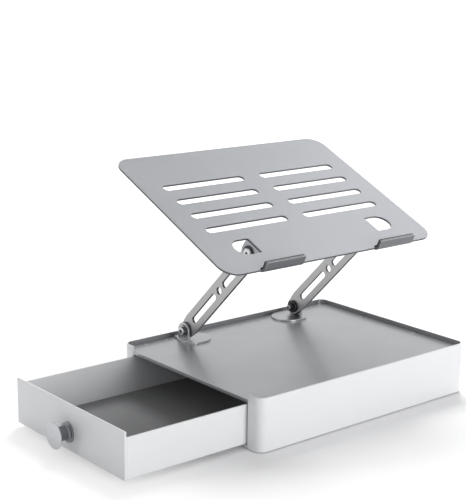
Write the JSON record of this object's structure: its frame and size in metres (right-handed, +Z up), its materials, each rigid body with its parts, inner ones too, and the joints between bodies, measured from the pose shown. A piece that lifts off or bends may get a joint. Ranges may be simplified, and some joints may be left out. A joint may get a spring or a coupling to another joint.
{
  "type": "laptop stand with drawer",
  "caption": "Desktop laptop stand: a low white steel box with a sliding drawer, two folding slotted arms and a tilting vented plate with padded front hooks.",
  "frame": {"origin": "on the table plane, under the middle of the box", "axes": "+X along the box away from the drawer, +Y from the front to the back, +Z up; the drawer opens towards -X"},
  "size_m": [0.447, 0.2411, 0.247],
  "materials": {
    "white_paint": "satin white powder coat",
    "panel_metal": "satin silver-white powder coat, bright cut edges",
    "tray_metal": "fine silver-grey powder coat, slightly glossy",
    "plate_aluminium": "bead-blasted, satin",
    "arm_aluminium": "bead-blasted, satin",
    "bracket_steel": "silver paint",
    "black_rubber": "matt",
    "knob_metal": "turned, satin",
    "grey_foam": "matt foam",
    "nylon": "natural",
    "dark_steel": "black oxide",
    "fastener_steel": "zinc plated"
  },
  "bodies": {
    "base": {"base_floor": "white_paint", "base_shell": "white_paint", "bracket_screws": "fastener_steel", "disc_spring_left": "dark_steel", "disc_spring_right": "dark_steel", "drawer_glides": "nylon", "drawer_guide_back": "white_paint", "drawer_guide_front": "white_paint", "drawer_stop": "white_paint", "friction_spacer_left": "nylon", "friction_spacer_right": "nylon", "hinge_bracket_left": "bracket_steel", "hinge_bracket_right": "bracket_steel", "hinge_stiffener": "bracket_steel", "lower_bolt_left": "fastener_steel", "lower_bolt_right": "fastener_steel", "lower_nut_left": "fastener_steel", "lower_nut_right": "fastener_steel", "lower_washer_left": "dark_steel", "lower_washer_right": "dark_steel", "rubber_feet": "black_rubber", "tray_ledge_back": "white_paint", "tray_ledge_front": "white_paint", "tray_ledge_right": "white_paint", "tray_rivets": "fastener_steel", "tray_top": "tray_metal"},
    "drawer": {"drawer_box": "white_paint", "drawer_front": "panel_metal", "drawer_liner": "grey_foam", "drawer_rivets": "fastener_steel", "drawer_knob": "knob_metal", "knob_screw": "fastener_steel"},
    "left_arm": {"arm_left": "arm_aluminium"},
    "right_arm": {"arm_right": "arm_aluminium"},
    "platform": {"platform_plate": "plate_aluminium", "hook_pad_left": "black_rubber", "hook_pad_right": "black_rubber", "upper_bolt_left": "fastener_steel", "upper_bolt_right": "fastener_steel", "upper_nut_left": "fastener_steel", "upper_nut_right": "fastener_steel", "upper_washer_left": "dark_steel", "upper_washer_right": "dark_steel", "friction_washer_left": "nylon", "friction_washer_right": "nylon", "upper_spring_left": "dark_steel", "upper_spring_right": "dark_steel"}
  },
  "joints": [
    {"name": "drawer_slide", "type": "slide", "parent": "base", "child": "drawer", "axis": [1, 0, 0], "range_m": [-0.085, 0.1377]},
    {"name": "arm_fold", "type": "hinge", "parent": "base", "child": "left_arm", "pos_m": [-0.078, 0.088, 0.0618], "axis": [1, 0, 0], "range_deg": [-30, 30]},
    {"name": "arm_fold_right", "type": "hinge", "parent": "base", "child": "right_arm", "pos_m": [0.078, 0.088, 0.0618], "axis": [1, 0, 0], "range_deg": [-30, 30]},
    {"name": "platform_tilt", "type": "hinge", "parent": "left_arm", "child": "platform", "pos_m": [-0.078, -0.01828, 0.16808], "axis": [1, 0, 0], "range_deg": [-54, 30]}
  ],
  "couplings": [
    {"joint": "arm_fold_right", "follows": "arm_fold", "ratio": 1}
  ]
}
